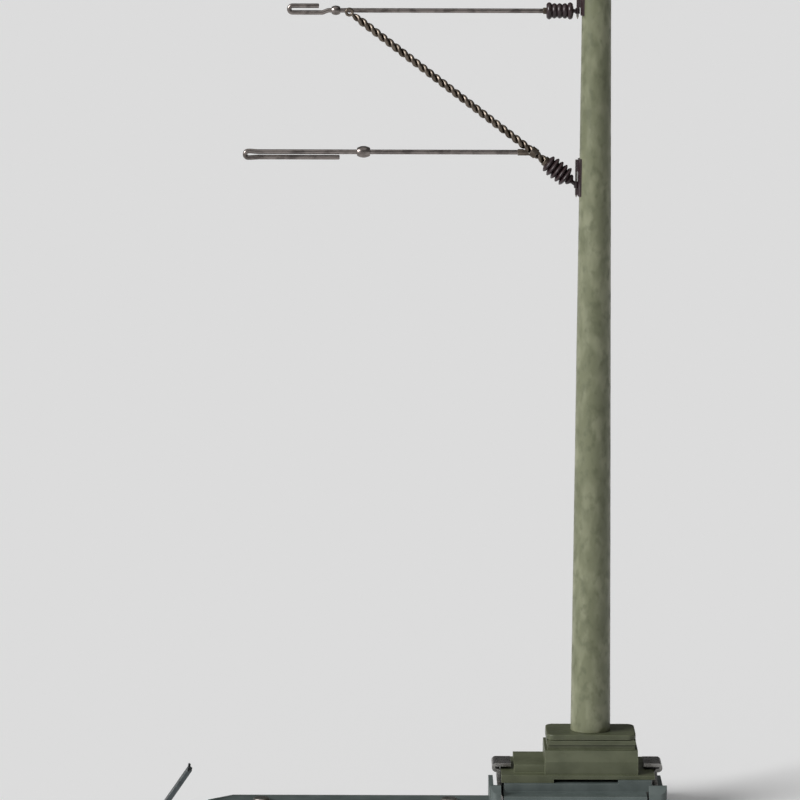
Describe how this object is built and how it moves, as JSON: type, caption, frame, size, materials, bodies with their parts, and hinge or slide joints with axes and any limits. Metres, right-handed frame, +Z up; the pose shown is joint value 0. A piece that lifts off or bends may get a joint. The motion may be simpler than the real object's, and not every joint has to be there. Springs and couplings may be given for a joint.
{
  "type": "model catenary mast",
  "caption": "H0 overhead-line mast: tapered round post on a clip-on track base with a hook, and a swinging wire cantilever with hairpin line holders on ribbed insulators.",
  "frame": {"origin": "on the mast's axis, at the level that the base stands on", "axes": "+Z up along the mast, -X towards the track, +Y along the track"},
  "size_m": [0.0533, 0.0146, 0.1],
  "materials": {
    "base_plastic": "dark blue-grey moulded plastic, satin",
    "foot_plastic": "olive green moulded plastic, satin",
    "mast_paint": "olive green paint, satin, slightly mottled",
    "spring_steel": "bright spring steel",
    "dark_steel": "blackened steel with rubbed edges",
    "fastener_steel": "zinc plated steel",
    "wire_steel": "drawn nickel-plated wire, slightly tarnished",
    "insulator_plastic": "dark brown moulded plastic, glossy"
  },
  "bodies": {
    "base": {"base_housing": "base_plastic", "track_plate": "dark_steel", "strap_rivets": "spring_steel", "plate_screws": "spring_steel", "clip_rivets": "spring_steel", "left_spring_clip": "spring_steel", "right_spring_clip": "spring_steel"},
    "mast": {"mast_foot": "foot_plastic", "mast_tube": "mast_paint", "mast_cap": "mast_paint", "mast_stud": "fastener_steel", "stud_washer": "fastener_steel", "stud_nut": "fastener_steel", "upper_bracket": "insulator_plastic", "lower_bracket": "insulator_plastic"},
    "cantilever": {"upper_hinge_pin": "wire_steel", "lower_hinge_pin": "wire_steel", "upper_insulator": "insulator_plastic", "lower_insulator": "insulator_plastic", "rod_ferrule": "wire_steel", "strut_ferrule": "wire_steel", "top_rod": "wire_steel", "rod_bead": "wire_steel", "diagonal_strut": "wire_steel", "arm_crimp": "wire_steel", "registration_arm": "wire_steel", "arm_bead": "wire_steel"}
  },
  "joints": [
    {"name": "foot_slide", "type": "slide", "parent": "base", "child": "mast", "axis": [0, 1, 0], "range_m": [-0.006, 0.006]},
    {"name": "cantilever_swing", "type": "hinge", "parent": "mast", "child": "cantilever", "pos_m": [-0.00197, 0, 0.0764], "axis": [0, 0, 1], "range_deg": [-60, 60]}
  ]
}
